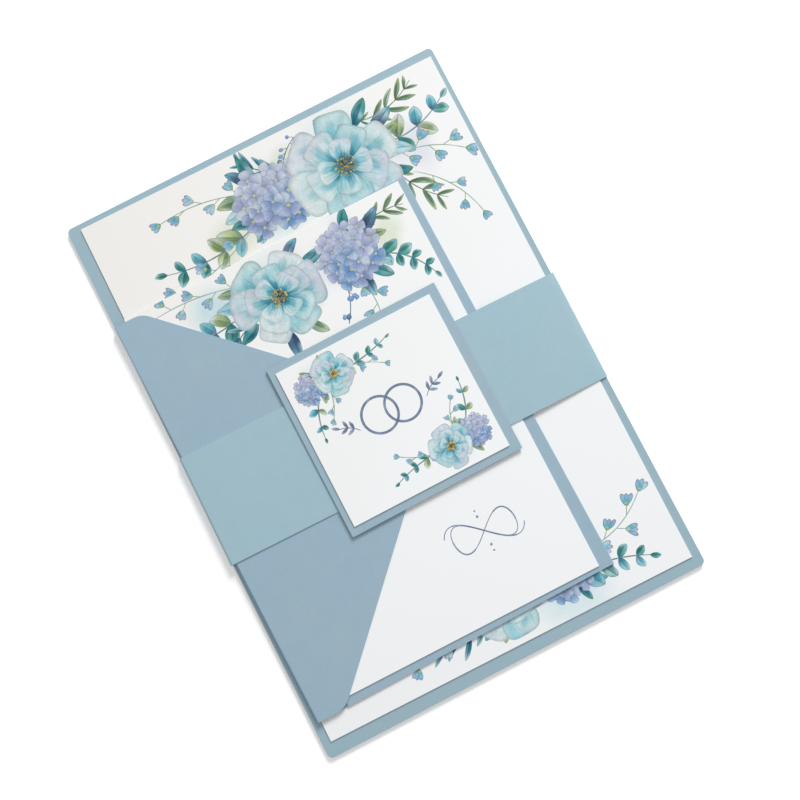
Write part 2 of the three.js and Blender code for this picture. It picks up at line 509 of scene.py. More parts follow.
    def dot(self, middle: Vector, radius: float, colour: Colour, strength: float = 0.95) -> None:
        """Paints one small uneven dot with a lighter spot.

        Args:
            middle: of the dot.
            radius: of the dot.
            colour: of the paint.
            strength: how much of what lies under it is hidden.
        """
        seed = self.chance.uniform(0, 60)
        outline = []
        for step in range(8):
            way = heading(step * 45)
            outline.append(middle + way * radius * (1 + 0.3 * DRIFT.at(way.x + seed, way.y + seed)))
        shine = np.array(middle + heading(60) * radius * 0.35)

        def tone(points: Many, near: Many) -> Many:
            """Tints with a lighter spot at the upper right."""
            lit = 1 - np.clip(np.hypot(*(points - shine).T) / radius, 0.0, 1.0)
            return painted(mixed(colour, PALETTE.mist, lit * 0.45), strength)

        self.washes.append(Wash(outline, tone, middle=middle, rings=(0.45,)))


@dataclass(frozen=True)
class Bloom:
    """Where a flower of a print lies, its radius, and its turn in degrees."""

    middle: Vector
    radius: float
    turn: float = 0.0


@dataclass(frozen=True)
class PetalLayer:
    """One layer of a flower: how many petals, and their length and width as shares of its radius."""

    count: int
    reach: float
    wide: float


class Botany(Painter):
    """Flowers and sprays of the print."""

    petal_layers = (PetalLayer(6, 1.0, 0.86), PetalLayer(5, 0.74, 0.68), PetalLayer(4, 0.5, 0.46))
    vein_places = (-0.66, -0.3, 0.05, 0.36, 0.7)
    floret_rings = ((0.86, 11), (0.5, 7), (0.12, 3))
    stamens = 26
    pollen = 20

    def leaf(self, foot: Vector, angle: float, length: float, stain: Stain, slim: float = 0.34) -> None:
        """Paints a leaf with a lighter or darker half and a fine midrib.

        Args:
            foot: where it grows from.
            angle: the way that it points, in degrees.
            length: from foot to tip.
            stain: its colours.
            slim: its width as a share of its length.
        """
        bend = self.chance.uniform(-0.09, 0.09)
        shape = Blade(foot, angle, length, length * slim, 0.75, 0.7, bend)
        self.blade(shape, stain, 14, 0.16)
        half = Blade(foot, angle, length * 0.94, length * slim * 0.5, 0.75, 0.8, bend + slim * 0.2)
        self.shade(half, stain.streak, 0.4)
        rib = [shape.place(along / 8, 0) for along in range(9)]
        self.stroke(rib, length * 0.035 + 0.1, mixed(stain.streak, PALETTE.ink_blue, 0.3), 0.5, 0.7)

    def shade(self, shape: Blade, colour: Colour, strength: float) -> None:
        """Paints a clear darker wash over part of a leaf or petal.

        Args:
            shape: the part that turns darker.
            colour: of the wash.
            strength: in its middle.
        """

        def tone(points: Many, near: Many) -> Many:
            """Tints that thin out towards the edge."""
            thin = strength * (1 - eased(0.5, 1.0, near))
            return painted(np.broadcast_to(colour, (len(points), 3)), thin)

        self.washes.append(Wash(shape.outline(8, 0.1, 3.0), tone, Blend.GLAZE, shape.place(0.5, 0), (0.6,)))

    def vein(self, shape: Blade, across: float, colour: Colour, strength: float) -> None:
        """Paints one fine vein from the foot of a petal towards its edge.

        Args:
            shape: the petal's frame.
            across: side-to-side share at which the vein runs.
            colour: of the paint.
            strength: how much it darkens the petal.
        """
        start, end = self.chance.uniform(0.06, 0.16), self.chance.uniform(0.62, 0.9)
        points = []
        for step in range(9):
            along = start + (end - start) * step / 8
            points.append(shape.place(along, across * shape.half_width(along)))
        self.stroke(points, 0.3, colour, strength, 0.8, Blend.GLAZE)

    def layered_flower(self, bloom: Bloom) -> None:
        """Paints the large open flower: three layers of round petals and a small tuft of stamens.

        Args:
            bloom: its place, the reach of its outer petals, and its turn.
        """
        middle, radius = bloom.middle, bloom.radius
        pale = Stain(PALETTE.aqua, PALETTE.frost, PALETTE.mist, PALETTE.aqua, 0.13, 0.97)
        cool = Stain(PALETTE.sky, PALETTE.aqua, PALETTE.frost, PALETTE.sky, 0.15, 0.97)
        violet = Stain(PALETTE.sky, PALETTE.frost, PALETTE.haze, PALETTE.aqua, 0.13, 0.97)
        line = mixed(PALETTE.sky, PALETTE.teal, 0.3)
        for number, layer in enumerate(self.petal_layers):
            if number:
                self.cloud(middle, radius * (layer.reach + 0.13), PALETTE.teal, 0.42)
            for petal in range(layer.count):
                angle = bloom.turn + number * 32 + petal * 360 / layer.count + self.chance.uniform(-7, 7)
                foot = middle + heading(angle) * radius * 0.04
                length = self.about(radius * layer.reach, 0.07)
                width = self.about(radius * layer.wide, 0.08)
                shape = Blade(foot, angle, length, width, 0.85, 0.26, self.chance.uniform(-0.04, 0.04))
                self.blade(shape, (pale, cool, violet)[(petal + number) % 3], 20, 0.2)
                side = self.chance.choice((-0.15, 0.15))
                fold = Blade(foot, angle, length * 0.92, width * 0.36, 0.8, 0.5, side)
                self.shade(fold, PALETTE.sky, 0.42)
                self.shade(Blade(foot, angle, length * 0.6, width * 0.5, 0.5, 0.9), PALETTE.sky, 0.6)
                for across in self.vein_places:
                    self.vein(shape, across, line, 0.36)
        self.tuft(middle, radius * 0.17)

    def tuft(self, middle: Vector, radius: float) -> None:
        """Paints a flower's tuft: a dark ground, a ring of stamens and a scatter of pollen.

        Args:
            middle: of the tuft.
            radius: to the middle of its stamens' tips.
        """
        self.cloud(middle, radius * 1.9, PALETTE.teal, 0.5)
        self.cloud(middle, radius * 1.3, PALETTE.umber, 0.55)
        threads = (PALETTE.umber, PALETTE.ochre, PALETTE.honey)
        grains = (PALETTE.deep_teal, PALETTE.slate, PALETTE.ochre, PALETTE.umber)
        for step in range(self.stamens):
            angle = step * 360 / self.stamens + self.chance.uniform(-6, 6)
            reach = radius * self.chance.uniform(0.7, 1.3)
            line = [middle + heading(angle) * reach * share for share in (0.3, 0.65, 1.0)]
            self.stroke(line, 0.2, self.chance.choice(threads), 0.85)
            self.dot(line[-1], self.about(0.32, 0.3), self.chance.choice(threads[1:]))
        for _ in range(self.pollen):
            way = heading(self.chance.uniform(0, 360))
            spot = middle + way * radius * 0.55 * self.chance.random() ** 0.6
            shade = self.chance.choice(grains)
            self.dot(spot, self.about(radius * 0.1, 0.4), shade)

    def floret(self, middle: Vector, radius: float, turn: float, colour: Colour) -> None:
        """Paints one four-petalled floret with a tiny pale eye.

        Args:
            middle: of the floret.
            radius: to the tips of its petals.
            turn: of the whole floret, in degrees.
            colour: of its petals.
        """
        light = mixed(colour, PALETTE.mist, 0.55)
        stain = Stain(mixed(colour, PALETTE.ink_blue, 0.25), colour, light, PALETTE.periwinkle, 0.24, 0.93)
        for petal in range(4):
            angle = turn + petal * 90 + self.chance.uniform(-8, 8)
            shape = Blade(middle, angle, self.about(radius, 0.12), radius * 1.02, 0.7, 0.3)
            self.blade(shape, stain, 9, 0.2)
        self.dot(middle, radius * 0.14, PALETTE.lime)

    def mophead(self, bloom: Bloom) -> None:
        """Paints a round head of overlapping florets, darker at its foot and lighter on top.

        Args:
            bloom: its place and radius.
        """
        middle, radius = bloom.middle, bloom.radius
        self.cloud(middle, radius * 1.15, PALETTE.lilac, 0.6)
        spots = []
        for ring, count in self.floret_rings:
            for step in range(count):
                angle = step * 360 / count + ring * 90 + self.chance.uniform(-10, 10)
                spots.append(middle + heading(angle) * radius * self.about(ring, 0.12))
        for spot in spots:
            low = eased(-0.8, 0.8, (middle.y - spot.y) / radius)
            deep = self.chance.choice((PALETTE.periwinkle, PALETTE.cornflower))
            colour = mixed(PALETTE.lilac, deep, low)
            self.floret(spot, self.about(radius * 0.34, 0.12), self.chance.uniform(0, 90), colour)

    def round_leaf_spray(self, start: Vector, end: Vector, bow: float, size: float, pairs: int) -> None:
        """Paints a stem with pairs of round leaves that shrink towards its end.

        Args:
            start: where the stem starts.
            end: where it ends.
            bow: sideways reach of the stem, as a share of its length.
            size: length of the first leaves.
            pairs: number of pairs of leaves.
        """
        stem = self.curve(start, end, bow)
        self.stroke(stem, 0.55, mixed(PALETTE.sage, PALETTE.slate, 0.4), 0.85, 0.5)
        tones = (
            Stain(PALETTE.teal, PALETTE.sea_green, PALETTE.aqua, PALETTE.deep_teal),
            Stain(PALETTE.sage, PALETTE.lime, PALETTE.mist, PALETTE.olive),
            Stain(PALETTE.slate, PALETTE.sky, PALETTE.aqua, PALETTE.teal),
        )
        for pair in range(pairs):
            spot, way = self.along_stem(stem, (pair + 0.8) / (pairs + 0.2))
            length = size * (1 - 0.5 * pair / pairs)
            for side in (-1, 1):
                angle = way + side * self.chance.uniform(42, 66)
                self.leaf(spot, angle, self.about(length, 0.15), self.chance.choice(tones), 0.62)
        self.leaf(stem[-1], self.way_of(stem[-1] - stem[-2]), size * 0.5, tones[0], 0.5)

    def bud_spray(self, start: Vector, end: Vector, bow: float, size: float, buds: int) -> None:
        """Paints a fine stem with small closed buds on both sides.

        Args:
            start: where the stem starts.
            end: where it ends.
            bow: sideways reach of the stem, as a share of its length.
            size: length of the buds.
            buds: number of buds.
        """
        stem = self.curve(start, end, bow)
        self.stroke(stem, 0.42, mixed(PALETTE.sage, PALETTE.mist, 0.2), 0.8, 0.5)
        stain = Stain(PALETTE.cornflower, PALETTE.sky, PALETTE.lilac, PALETTE.cornflower, 0.25)
        cup = Stain(PALETTE.sage, PALETTE.lime, PALETTE.sky, PALETTE.sea_green, 0.2)
        for bud in range(buds):
            spot, way = self.along_stem(stem, (bud + 1) / buds)
            angle = way + (1 if bud % 2 else -1) * self.chance.uniform(22, 58) * (bud < buds - 1)
            twig = spot + heading(angle) * size * 0.7
            self.stroke([spot, spot.lerp(twig, 0.5), twig], 0.3, PALETTE.sage, 0.8)
            for side in (-24, 0, 24):
                shape = Blade(twig, angle + side, self.about(size, 0.1), size * 0.42, 0.7, 0.5)
                self.blade(shape, stain, 8, 0.15)
            self.blade(Blade(twig, angle, size * 0.42, size * 0.36, 0.4, 0.8), cup, 6, 0.1)

    def fern(self, start: Vector, end: Vector, bow: float, size: float, blades: int, stain: Stain) -> None:
        """Paints a stem with narrow blades in pairs, longest in its middle.

        Args:
            start: where the stem starts.
            end: where it ends.
            bow: sideways reach of the stem, as a share of its length.
            size: length that the blades are scaled from.
            blades: number of pairs of blades.
            stain: colours of the blades.
        """
        stem = self.curve(start, end, bow)
        self.stroke(stem, 0.4, stain.foot, 0.85, 0.4)
        for blade in range(blades):
            spot, way = self.along_stem(stem, (blade + 0.6) / blades)
            length = size * (0.45 + 0.8 * math.sin(math.pi * (blade + 0.6) / (blades + 0.6)))
            for side in (-1, 1):
                angle = way + side * self.chance.uniform(30, 44)
                self.leaf(spot, angle, self.about(length, 0.12), stain, 0.24)

    def grounds(self, *grounds: tuple[Vector, float, Colour]) -> None:
        """Paints pale grounds, each with its middle, radius and colour, for the flowers to lie on."""
        for middle, radius, colour in grounds:
            self.cloud(middle, radius, colour, 0.3)

    def foliage(self) -> tuple[Stain, Stain]:
        """Stains of the green and of the blue leaves."""
        green = Stain(PALETTE.olive, PALETTE.sage, PALETTE.lime, PALETTE.olive, 0.2, 0.9)
        return green, Stain(PALETTE.deep_teal, PALETTE.teal, PALETTE.aqua, PALETTE.slate, 0.2, 0.9)

    def collar(self, middle: Vector, radius: float, angles: Sequence[float], length: float) -> None:
        """Paints bold leaves that stick out from under a flower.

        Args:
            middle: of the flower.
            radius: where the leaves start.
            angles: the ways that they point, in degrees.
            length: of the leaves.
        """
        stains = (
            Stain(PALETTE.deep_teal, PALETTE.teal, PALETTE.sea_green, PALETTE.deep_teal, 0.2, 0.93),
            Stain(PALETTE.ink_blue, PALETTE.slate, PALETTE.sky, PALETTE.slate, 0.2, 0.93),
            Stain(PALETTE.olive, PALETTE.sage, PALETTE.lime, PALETTE.olive, 0.2, 0.9),
            Stain(PALETTE.sea_green, PALETTE.aqua, PALETTE.frost, PALETTE.sky, 0.2, 0.9),
        )
        for number, angle in enumerate(angles):
            way = angle + self.chance.uniform(-7, 7)
            foot = middle + heading(way) * radius
            angle = way + self.chance.uniform(-14, 14)
            self.leaf(foot, angle, self.about(length, 0.2), stains[number % len(stains)], 0.38)

    def berries(self, start: Vector, end: Vector, size: float, count: int) -> None:
        """Paints a branching stem with round berries.

        Args:
            start: where the stem starts.
            end: where it ends.
            size: length that the twigs and berries are scaled from.
            count: number of berries.
        """
        stem = self.curve(start, end, 0.08)
        self.stroke(stem, 0.38, PALETTE.slate, 0.8, 0.3)
        for berry in range(count):
            index = 3 + int((berry + 1) / count * (len(stem) - 4))
            twig = stem[index] + heading(self.chance.uniform(0, 360)) * size * 1.6
            self.stroke([stem[index], stem[index].lerp(twig, 0.6), twig], 0.25, PALETTE.slate, 0.75)
            radius = self.about(size * 0.62, 0.2)
            self.dot(twig, radius, self.chance.choice((PALETTE.slate, PALETTE.cornflower)))


class InvitationPrint(Botany):
    """Print of the large card: a crescent of flowers along its top and another along its foot."""

    upper_head = Bloom(at(-4, 80.5), 12.5)
    upper_flower = Bloom(at(25, 79), 19.5, 14)
    lower_head = Bloom(at(28, -86.5), 9.5)
    lower_flower = Bloom(at(6, -82.5), 15.5, 40)

    def paint(self) -> list[Wash]:
        """Paints the whole card.

        Returns:
            the washes in painting order, in the card's own frame.
        """
        self.grounds(
            (at(30, 86), 19, PALETTE.aqua), (at(0, 78), 17, PALETTE.sky), (at(-24, 72), 12, PALETTE.lime),
            (at(52, 76), 13, PALETTE.lilac), (at(6, 92), 9, PALETTE.lime), (at(26, -94), 18, PALETTE.aqua),
        )
        self.upper_sprays()
        self.mophead(self.upper_head)
        self.layered_flower(self.upper_flower)
        self.lower_sprays()
        self.mophead(self.lower_head)
        self.layered_flower(self.lower_flower)
        return self.washes

    def upper_sprays(self) -> None:
        """Paints the leaves and buds that run out from the upper flowers."""
        green, blue = self.foliage()
        self.round_leaf_spray(at(-6, 78), at(-50, 72), 0.1, 9.5, 5)
        self.bud_spray(at(-8, 84), at(-44, 90), -0.08, 4.2, 5)
        self.bud_spray(at(-14, 74), at(-58, 62), 0.06, 4.4, 6)
        self.fern(at(8, 86), at(-10, 99), 0.1, 6.5, 5, blue)
        self.fern(at(34, 92), at(60, 97), -0.12, 6.5, 5, green)
        self.round_leaf_spray(at(40, 80), at(67, 86), -0.1, 8.5, 3)
        self.bud_spray(at(40, 74), at(66, 66), 0.1, 4.6, 5)
        self.fern(at(40, 72), at(53, 52), -0.1, 7.5, 4, green)
        self.bud_spray(at(46, 66), at(62, 42), 0.1, 3.6, 4)
        self.berries(at(4, 88), at(13, 97), 1.5, 5)
        self.collar(self.upper_flower.middle, 14, (124, 102, 74), 6.5)
        self.collar(self.upper_flower.middle, 14, (52, 30, 8, -14, -40), 12.5)
        self.collar(self.upper_head.middle, 8, (116, 134, 156, 180, 206, 236), 10.5)

    def lower_sprays(self) -> None:
        """Paints the leaves and buds along the foot of the card, most of them under the reply set."""
        blue = self.foliage()[1]
        self.collar(self.lower_flower.middle, 10, (200, 226, 250, 274), 7)
        self.collar(self.lower_head.middle, 6, (-70, -30, 10, 40), 8)
        self.fern(at(2, -86), at(-26, -91), 0.08, 6.5, 5, blue)
        self.bud_spray(at(-4, -84), at(-40, -90), 0.08, 4.2, 5)
        self.round_leaf_spray(at(30, -88), at(58, -94), 0.06, 8.0, 4)
        self.bud_spray(at(34, -82), at(64, -73), -0.12, 4.6, 5)


class ReplyPrint(Botany):
    """Print of the reply card: flowers under its top edge and a thin flourish near its foot."""

    head = Bloom(at(27, 62), 11)
    flower = Bloom(at(-2, 59), 16.5, 58)

    def paint(self) -> list[Wash]:
        """Paints the whole card.

        Returns:
            the washes in painting order, in the card's own frame.
        """
        self.grounds(
            (at(0, 62), 19, PALETTE.aqua), (at(28, 64), 14, PALETTE.lilac), (at(-24, 66), 12, PALETTE.sky),
            (at(44, 62), 10, PALETTE.lime),
        )
        green, blue = self.foliage()
        self.round_leaf_spray(at(-10, 62), at(-46, 60), 0.1, 8.5, 5)
        self.bud_spray(at(-10, 68), at(-47, 72), -0.06, 4.0, 6)
        self.fern(at(-10, 56), at(-30, 44), -0.1, 7.0, 5, blue)
        self.fern(at(34, 67), at(53, 69), 0.1, 5.5, 4, green)
        self.round_leaf_spray(at(34, 58), at(52, 42), 0.12, 6.5, 4)
        self.bud_spray(at(24, 56), at(27, 34), 0.12, 3.8, 4)
        self.berries(at(22, 56), at(16, 39), 1.6, 5)
        self.collar(self.flower.middle, 12, (30, 60, 148, 172, 212, 258, 296), 11)
        self.collar(self.head.middle, 7, (64, 28, -4, -34, -62, -92), 11)
        self.mophead(self.head)
        self.layered_flower(self.flower)
        self.flourish(at(25, -48), 13.0, 6.0)
        return self.washes

    def flourish(self, middle: Vector, reach: float, rise: float) -> None:
        """Paints a thin looped flourish: a lying eight whose ends run out and curl, with four dots.

        Args:
            middle: where its line crosses itself.
            reach: to its left and right ends.
            rise: to its top and foot.
        """
        ends, steps, piece = 1.42 * math.pi, 96, 6
        points = []
        for step in range(steps + 1):
            turn = (2 * step / steps - 1) * ends
            grown = 0.78 + 0.24 * abs(turn) / math.pi
            points.append(middle + at(reach * math.sin(turn), rise * math.sin(2 * turn)) * grown)
        for start in range(0, steps, piece):
            heft = 0.3 + 0.28 * math.sin(math.pi * (start + piece / 2) / steps * 4) ** 2
            self.stroke(points[start : start + piece + 1], heft, PALETTE.pen, 0.85)
        for side in (-1, 1):
            tip = middle + at(0, side * rise * 0.9)
            self.dot(tip, 0.55, PALETTE.pen)
            self.dot(tip + at(0, side * 2.2), 0.36, PALETTE.pen)


class TagPrint(Botany):
    """Print of the tag: small flowers in two opposite corners and two linked rings between them."""

    def paint(self) -> list[Wash]:
        """Paints the whole tag.

        Returns:
            the washes in painting order, in the tag's own frame.
        """
        self.corner(at(-16.5, 21), 1)
        self.corner(at(16.5, -21), -1)
        self.linked_rings(6.6, 4.6, 0.4)
        return self.washes

    def corner(self, middle: Vector, side: int) -> None:
        """Paints one corner of the tag; side -1 turns it half round.

        Args:
            middle: of the corner's flowers.
            side: 1, or -1 for half a turn.
        """
        green = self.foliage()[0]
        self.cloud(middle, 8, PALETTE.aqua, 0.3)
        self.round_leaf_spray(middle, middle + at(26, 3) * side, -0.06, 4.4, 5)
        self.bud_spray(middle, middle + at(22, -5) * side, 0.1, 2.3, 5)
        self.round_leaf_spray(middle, middle + at(-9, -19) * side, -0.1, 4.2, 3)
        self.bud_spray(middle, middle + at(-3, -14) * side, 0.1, 2.2, 4)
        for angle in (20, 78, 140, 200, 250, 310):
            self.leaf(middle + heading(angle) * 2.5, angle, 6.4, green, 0.36)
        self.mophead(Bloom(middle + at(-6, -1) * side, 5.2))
        self.layered_flower(Bloom(middle + at(4, 0) * side, 7.6, 20 * side))

    def linked_rings(self, radius: float, apart: float, lift: float) -> None:
        """Paints two linked rings with a small sprig on either side.

        Args:
            radius: of each ring.
            apart: from the tag's middle to a ring's middle.
            lift: of the rings above the tag's middle.
        """
        stain = Stain(PALETTE.pen, PALETTE.pen, PALETTE.lilac, PALETTE.slate)
        for side in (-1, 1):
            middle = at(side * apart, lift)
            for quarter in range(4):
                arc = [middle + heading(quarter * 90 + step * 7.8) * radius for step in range(13)]
                self.stroke(arc, 0.95, PALETTE.pen, 0.92)
            stem = self.curve(at(side * 13.2, -1.4), at(side * 20, 2.4), side * 0.1)
            self.stroke(stem, 0.4, PALETTE.pen, 0.85, 0.4)
            ahead = self.way_of(stem[13] - stem[1])
            for step, tilt in ((4, 50), (4, -50), (8, 46), (8, -46), (13, 0)):
                self.blade(Blade(stem[step], ahead + tilt, 3.2, 1.15, 0.75, 0.7), stain, 8, 0.1)


# Sheets


@dataclass(frozen=True)
class Place:
    """Where a flat sheet lies.

    Attributes:
        middle: of the sheet, in the plane of the card.
        turn: of its first side from +X, in radians.
        width: along that side.
        height: across it.
        bottom: height of its underside.
        top: height of its upper face.
    """

    middle: Vector
    turn: float
    width: float
    height: float
    bottom: float
    top: float

    @classmethod
    def of_node(cls, node: str) -> "Place":
        """Reads a rectangular sheet's place from its solid.

        Args:
            node: name of the solid.

        Returns:
            its place, in millimetres.
        """
        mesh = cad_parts[node].data
        steep = 20
        spots = [vertex.co / MM for vertex in mesh.vertices]
        runs = [spots[edge.vertices[1]] - spots[edge.vertices[0]] for edge in mesh.edges]
        upright = [run for run in runs if abs(run.y) > steep * abs(run.x)]
        longest = max(upright, key=lambda run: run.xy.length)
        return cls.along(longest.xy.normalized() * (1 if longest.y > 0 else -1), spots, spots)

    @classmethod
    def along(cls, up: Vector, spots: list[Vector], end_spots: list[Vector]) -> "Place":
        """Measures a sheet whose own upward side is known.

        Args:
            up: direction of that side.
            spots: corners of the sheet, for its width and levels.
            end_spots: those of them that reach its lower and upper end.

        Returns:
            its place, in millimetres.
        """
        across = at(up.y, -up.x)
        sides = [spot.xy.dot(across) for spot in spots]
        ends = [spot.xy.dot(up) for spot in end_spots]
        levels = [spot.z for spot in spots]
        middle = across * (max(sides) + min(sides)) / 2 + up * (max(ends) + min(ends)) / 2
        turn = math.atan2(across.y, across.x)
        size = (max(sides) - min(sides), max(ends) - min(ends))
        return cls(middle, turn, *size, min(levels), max(levels))

    def matrix(self) -> Matrix:
        """The sheet's own frame, in millimetres, with its underside at height 0."""
        spot = Matrix.Translation((self.middle.x, self.middle.y, self.bottom))
        return spot @ Matrix.Rotation(self.turn, 4, "Z")


def add_piece(
    name: str, mesh: bpy.types.Mesh, material: bpy.types.Material, node: str
) -> bpy.types.Object:
    """Puts a finished mesh into the scene in place of a solid.

    Args:
        name: of the new piece.
        mesh: in metres, in the frame of the bundle.
        material: its finish.
        node: the solid that it stands for.

    Returns:
        the new piece.
    """
    piece = bpy.data.objects.new(name, mesh)
    bpy.context.scene.collection.objects.link(piece)
    mesh.materials.append(material)
    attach(piece, "root")
    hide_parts(node)
    LOG.info("%s: %d faces", name, len(mesh.polygons))
    return piece


@dataclass
class PrintedCard:
    """A white card whose upper face holds its print.

    Attributes:
        node: the solid that it stands for.
        slot: meant as the name of its material slot; not used.
        washes: its print, in the card's own frame.
        material: its finish.
        soft_edge: how far the cut edge is rounded.
        corner: radius of its corners.
        fineness: distance between the points that carry the change of tone.
        grid_margin: how far those points stay from the card's edge.
        joined: points of the print nearer to each other than this become one.
    """

    node: str
    slot: str
    washes: list[Wash]
    material: bpy.types.Material
    soft_edge: float = 0.05
    corner: float = 0.15
    fineness: float = 0.75
    grid_margin: float = 1.0
    joined: float = 1e-4

    def outline(self, place: Place, inset: float) -> list[Vector]:
        """Rounded rectangle of the card, anticlockwise, at a distance inside its edge.

        Args:
            place: where the card lies.
            inset: the distance inside its edge.

        Returns:
            the points of the outline, in the card's own frame.
        """
        radius = max(self.corner - inset, 0.02)
        x, y = place.width / 2 - inset - radius, place.height / 2 - inset - radius
        corners = ((x, -y, -90), (x, y, 0), (-x, y, 90), (-x, -y, 180))
        return [
            at(cx, cy) + heading(start + step * 30) * radius
            for cx, cy, start in corners
            for step in range(4)
        ]

    def shading_points(self) -> list[Vector]:
        """Points of a staggered grid that lie in the washes whose tone changes inside.

        Returns:
            the points, in the card's own frame.
        """
        marked = set()
        row_height = self.fineness * math.sqrt(3) / 2
        for wash in self.washes:
            if not wash.shaded:
                continue
            reach = max((point - wash.middle).length for point in wash.outline)
            low, high = (round((wash.middle.y + side * reach) / row_height) for side in (-1, 1))
            for row in range(low, high + 1):
                span = reach * reach - (row * row_height - wash.middle.y) ** 2
                if span > 0:
                    span = math.sqrt(span)
                    left, right = wash.middle.x - span, wash.middle.x + span
                    columns = range(round(left / self.fineness), round(right / self.fineness) + 1)
                    marked.update((column, row) for column in columns)
        spots = sorted(marked)
        return [at((column + row % 2 / 2) * self.fineness, row * row_height) for column, row in spots]

    def facets(self, place: Place) -> tuple[Many, Many, list[tuple[int, ...]]]:
        """Cuts the upper face along every edge of paint.

        Args:
            place: where the card lies.

        Returns:
            the points, the triangles, and for each triangle the washes that cover it, in order.
        """
        points = self.outline(place, self.soft_edge)
        faces = [list(range(len(points)))]
        edges = []
        for wash in self.washes:
            start = len(points)
            points.extend(wash.outline)
            faces.append(list(range(start, len(points))))
            for ring in wash.rings:
                start = len(points)
                points.extend(wash.middle.lerp(point, ring) for point in wash.outline)
                count = len(wash.outline)
                edges.extend((start + index, start + (index + 1) % count) for index in range(count))
        half = at(place.width / 2 - self.grid_margin, place.height / 2 - self.grid_margin)
        grid = self.shading_points()
        points.extend(point for point in grid if abs(point.x) < half.x and abs(point.y) < half.y)
        cut, _, triangles, _, _, owners = delaunay_2d_cdt(points, edges, faces, 1, self.joined, True)
        kept = [(triangle, sorted(owner)) for triangle, owner in zip(triangles, owners) if 0 in owner]
        covers = [tuple(index - 1 for index in owner if index > 0) for _, owner in kept]
        used = sorted({index for triangle, _ in kept for index in triangle})
        renumber = {old: new for new, old in enumerate(used)}
        corners = [[renumber[index] for index in triangle] for triangle, _ in kept]
        return np.array([cut[index] for index in used]), np.array(corners), covers

    def inks(self, points: Many, triangles: Many, covers: list[tuple[int, ...]]) -> Many:
        """Lays the washes that cover each triangle over each other at its corners.

        Args:
            points: of the upper face.
            triangles: of the upper face.
            covers: the washes over each triangle.

        Returns:
            linear colour and amount of ink, for each corner of each triangle.
        """
        kinds = {cover: index for index, cover in enumerate(sorted(set(covers)))}
        depth = max(len(cover) for cover in kinds)
        layers = np.full((len(kinds), depth), -1)
        for cover, index in kinds.items():
            layers[index, : len(cover)] = cover
        kind = np.repeat([kinds[cover] for cover in covers], 3)
        pairs, where = np.unique(kind * len(points) + triangles.ravel(), return_inverse=True)
        stack, spots = layers[pairs // len(points)], points[pairs % len(points)]
        colour, inked = np.ones((len(pairs), 3)), np.zeros(len(pairs))
        for level in range(depth):
            layer = stack[:, level]
            order = np.argsort(layer, kind="stable")
            order = order[np.searchsorted(layer[order], 0) :]
            starts = np.flatnonzero(np.diff(layer[order], prepend=-2))
            for rows in np.split(order, starts[1:]):
                wash = self.washes[layer[rows[0]]]
                tints = wash.tints(spots[rows])
                strength = tints[:, 3:]
                if wash.blend is Blend.COVER:
                    colour[rows] = colour[rows] * (1 - strength) + tints[:, :3] * strength
                else:
                    colour[rows] *= 1 - strength * (1 - tints[:, :3])
                inked[rows] += (1 - inked[rows]) * strength[:, 0]
        return np.column_stack([linear(np.clip(colour, 0.0, 1.0)), inked])[where.ravel()]

    def build(self) -> bpy.types.Object:
        """Builds the card as one closed sheet.

        Returns:
            the new piece.
        """
        place = Place.of_node(self.node)
        points, triangles, covers = self.facets(place)
        rim = self.rim_of(triangles)
        shell, walls = self.walls(place, points, rim)
        thickness = place.top - place.bottom
        top = np.column_stack([points, np.full(len(points), thickness)])
        mesh = bpy.data.meshes.new(self.node + "_printed")
        mesh.from_pydata(np.vstack([top, shell]).tolist(), [], triangles.tolist() + walls)
        inks = np.tile((1.0, 1.0, 1.0, 0.0), (len(mesh.loops), 1))
        inks[: triangles.size] = self.inks(points, triangles, covers)
        ink = mesh.color_attributes.new("Ink", "FLOAT_COLOR", "CORNER")
        ink.data.foreach_set("color", inks.ravel().astype(np.float32))
        mesh.transform(Matrix.Scale(MM, 4) @ place.matrix())
        return add_piece(self.node + "_printed", mesh, self.material, self.node)

    def rim_of(self, triangles: Many) -> list[int]:
        """Points round the outside of the upper face, anticlockwise.

        Args:
            triangles: of the upper face.

        Returns:
            numbers of the points, in order.
        """
        sides = np.vstack([triangles[:, [0, 1]], triangles[:, [1, 2]], triangles[:, [2, 0]]])
        count = int(triangles.max()) + 1
        forward, backward = sides[:, 0] * count + sides[:, 1], sides[:, 1] * count + sides[:, 0]
        outer = sides[~np.isin(forward, backward)]
        following = {int(start): int(end) for start, end in outer}
        rim = [int(outer[0, 0])]
        while following[rim[-1]] != rim[0]:
            rim.append(following[rim[-1]])
        return rim

    def walls(self, place: Place, points: Many, rim: list[int]) -> tuple[Many, list[list[int]]]:
        """Rounded cut edge and plain underside.

        Args:
            place: where the card lies.
            points: of the upper face.
            rim: points round the outside of the upper face.

        Returns:
            the new points and the faces between them and the rim.
        """
        thickness = place.top - place.bottom
        inner = np.array([place.width, place.height]) - 2 * self.soft_edge
        full = np.array([place.width, place.height]) / inner
        shell, faces, last = [], [], rim
        for scale, height in ((full, thickness - self.soft_edge), (full, self.soft_edge), (1.0, 0.0)):
            ring = points[rim] * scale
            shell.append(np.column_stack([ring, np.full(len(ring), height)]))
            start = len(points) + len(ring) * (len(shell) - 1)
            fresh = list(range(start, start + len(ring)))
            for index in range(len(ring)):
                after = (index + 1) % len(ring)
                faces.append([last[index], fresh[index], fresh[after], last[after]])
            last = fresh
        faces.append(last[::-1])
        return np.vstack(shell), faces


